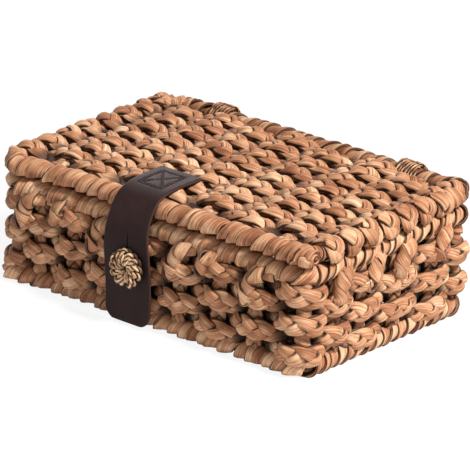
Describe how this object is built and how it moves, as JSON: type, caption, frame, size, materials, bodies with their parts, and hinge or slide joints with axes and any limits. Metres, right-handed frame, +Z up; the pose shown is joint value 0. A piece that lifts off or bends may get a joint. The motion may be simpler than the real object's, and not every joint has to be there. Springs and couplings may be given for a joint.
{
  "type": "woven lidded box",
  "caption": "Woven lidded box of plant-fibre braid on a wire frame, with twine hinges and a leather strap that slips over a twine knot.",
  "frame": {"origin": "middle of the underside, on the surface that the box stands on", "axes": "+X along the long front towards its right end, +Y from the front with the strap to the hinged back, +Z up"},
  "size_m": [0.3438, 0.2546, 0.1237],
  "materials": {
    "braid": "satin plant fibre",
    "stake": "satin plant fibre",
    "wrapping": "satin plant fibre",
    "wire": "plain drawn wire",
    "twine": "matt twisted fibre",
    "leather": "smooth dark brown",
    "thread": "waxed"
  },
  "bodies": {
    "basket": {"body_wire_frame": "wire", "top_rim_wrap": "wrapping", "foot_rim_wrap": "wrapping", "corner_wrap_1": "wrapping", "corner_wrap_2": "wrapping", "corner_wrap_3": "wrapping", "corner_wrap_4": "wrapping", "wall_course_1": "braid", "wall_course_2": "braid", "wall_course_3": "braid", "wall_course_4": "braid", "wall_course_5": "braid", "front_stake_1": "stake", "front_stake_2": "stake", "front_stake_3": "stake", "front_stake_4": "stake", "front_stake_5": "stake", "front_stake_6": "stake", "front_stake_7": "stake", "back_stake_1": "stake", "back_stake_2": "stake", "back_stake_3": "stake", "back_stake_4": "stake", "back_stake_5": "stake", "back_stake_6": "stake", "back_stake_7": "stake", "right_stake_1": "stake", "right_stake_2": "stake", "right_stake_3": "stake", "right_stake_4": "stake", "left_stake_1": "stake", "left_stake_2": "stake", "left_stake_3": "stake", "left_stake_4": "stake", "base_weave": "braid", "hinge_tie_1": "twine", "hinge_tie_2": "twine", "knot_winding": "twine", "knot_core": "twine", "knot_shank": "twine"},
    "lid": {"lid_wire_frame": "wire", "lid_front_wrap": "wrapping", "lid_back_wrap": "wrapping", "lid_right_wrap": "wrapping", "lid_left_wrap": "wrapping", "lid_stake_1": "stake", "lid_stake_2": "stake", "lid_stake_3": "stake", "lid_stake_4": "stake", "lid_stake_5": "stake", "lid_stake_6": "stake", "lid_stake_7": "stake", "lid_braid_1": "braid", "lid_braid_2": "braid", "lid_braid_3": "braid", "lid_braid_4": "braid", "strap_anchor": "leather", "strap_stitching": "thread"},
    "strap": {"strap_tail": "leather"}
  },
  "joints": [
    {"name": "lid_hinge", "type": "hinge", "parent": "basket", "child": "lid", "pos_m": [0, 0.11137, 0.10877], "axis": [-1, 0, 0], "range_deg": [0, 105]},
    {"name": "strap_swing", "type": "hinge", "parent": "lid", "child": "strap", "pos_m": [-0.0155, -0.09464, 0.12121], "axis": [-1, 0, 0], "range_deg": [0, 110], "deforming": ["strap_tail"]}
  ]
}
